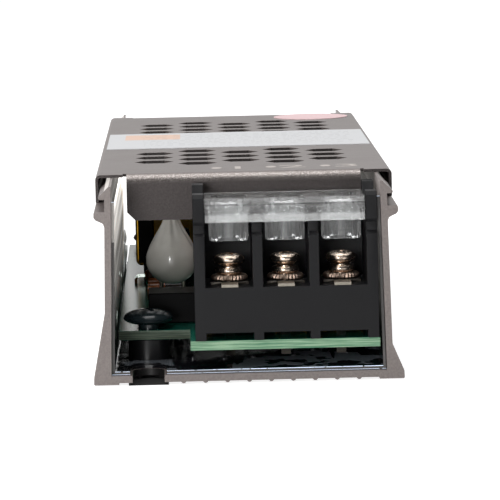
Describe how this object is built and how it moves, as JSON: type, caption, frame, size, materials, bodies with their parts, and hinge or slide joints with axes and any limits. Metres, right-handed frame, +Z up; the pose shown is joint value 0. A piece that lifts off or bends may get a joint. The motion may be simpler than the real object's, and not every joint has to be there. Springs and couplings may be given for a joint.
{
  "type": "switching power supply",
  "caption": "Long low switching power supply: extruded tray, vented push-fit cover, and a screw terminal block with a clear hinged lid at each end.",
  "frame": {"origin": "middle of the base, on the surface that the tray stands on", "axes": "+X across the width, to the right seen from the input end; +Y along the length, from the input end to the output end; +Z up"},
  "size_m": [0.0524, 0.172, 0.0342],
  "materials": {
    "tray_aluminium": "satin bronze-grey coating",
    "cover_sheet": "satin bronze-grey paint",
    "film": "glossy black film",
    "label": "white label stock",
    "sticker": "pink paper",
    "board": "green solder mask",
    "black_plastic": "matt black",
    "black_steel": "black oxide",
    "tin_plate": "tin plated",
    "nickel_steel": "nickel plated",
    "clear_plastic": "clear moulding",
    "blue_plastic": "blue",
    "pale_plastic": "off-white",
    "green_lens": "green lens",
    "brown_coat": "brown dip coat",
    "grey_sleeve": "grey silicone sleeve",
    "yellow_case": "yellow",
    "ferrite": "dark ferrite",
    "copper": "enamelled copper wire",
    "capacitor_sleeve": "black shrink sleeve",
    "bare_aluminium": "bare extrusion",
    "moulded_package": "black epoxy",
    "green_coat": "dark green coat",
    "tan_body": "tan coat"
  },
  "bodies": {
    "case": {"chassis": "tray_aluminium", "case_cover": "cover_sheet", "insulation_film": "film", "rating_label": "label", "round_sticker": "sticker", "main_board": "board", "board_standoffs": "black_plastic", "board_screws": "black_steel", "input_block": "black_plastic", "input_plates": "tin_plate", "input_square_washers": "nickel_steel", "input_spring_washers": "nickel_steel", "input_screws": "nickel_steel", "output_block": "black_plastic", "output_plates": "tin_plate", "output_square_washers": "nickel_steel", "output_spring_washers": "nickel_steel", "output_screws": "nickel_steel", "trimmer_body": "blue_plastic", "status_led": "green_lens", "bridge_rectifier": "black_plastic", "ceramic_capacitor": "brown_coat", "sleeved_varistor": "grey_sleeve", "fuse": "black_plastic", "x_capacitor": "yellow_case", "choke_core": "ferrite", "choke_windings": "copper", "choke_base": "black_plastic", "bulk_capacitor": "capacitor_sleeve", "primary_heatsink": "bare_aluminium", "mosfet": "moulded_package", "secondary_heatsink": "bare_aluminium", "output_diode": "moulded_package", "heatsink_screws": "nickel_steel", "transformer_core": "ferrite", "transformer_bobbin": "black_plastic", "transformer_winding": "yellow_case", "output_capacitors": "capacitor_sleeve", "output_inductor_core": "yellow_case", "output_inductor_winding": "copper", "y_capacitor": "blue_plastic", "optocoupler": "pale_plastic", "control_chip": "black_plastic", "thermistor": "green_coat", "resistors": "tan_body", "small_capacitors": "capacitor_sleeve", "jumper_wires": "tin_plate"},
    "input_lid": {"input_lid": "clear_plastic"},
    "output_lid": {"output_lid": "clear_plastic"},
    "trimmer": {"trimmer_rotor": "pale_plastic"}
  },
  "joints": [
    {"name": "input_lid_hinge", "type": "hinge", "parent": "case", "child": "input_lid", "pos_m": [0.00655, -0.0723, 0.02905], "axis": [-1, 0, 0], "range_deg": [0, 90]},
    {"name": "output_lid_hinge", "type": "hinge", "parent": "case", "child": "output_lid", "pos_m": [0.0113, 0.0723, 0.02905], "axis": [1, 0, 0], "range_deg": [0, 90]},
    {"name": "trimmer_turn", "type": "hinge", "parent": "case", "child": "trimmer", "pos_m": [-0.004, 0.081, 0.0105], "axis": [0, 0, 1], "range_deg": [-135, 135]}
  ]
}
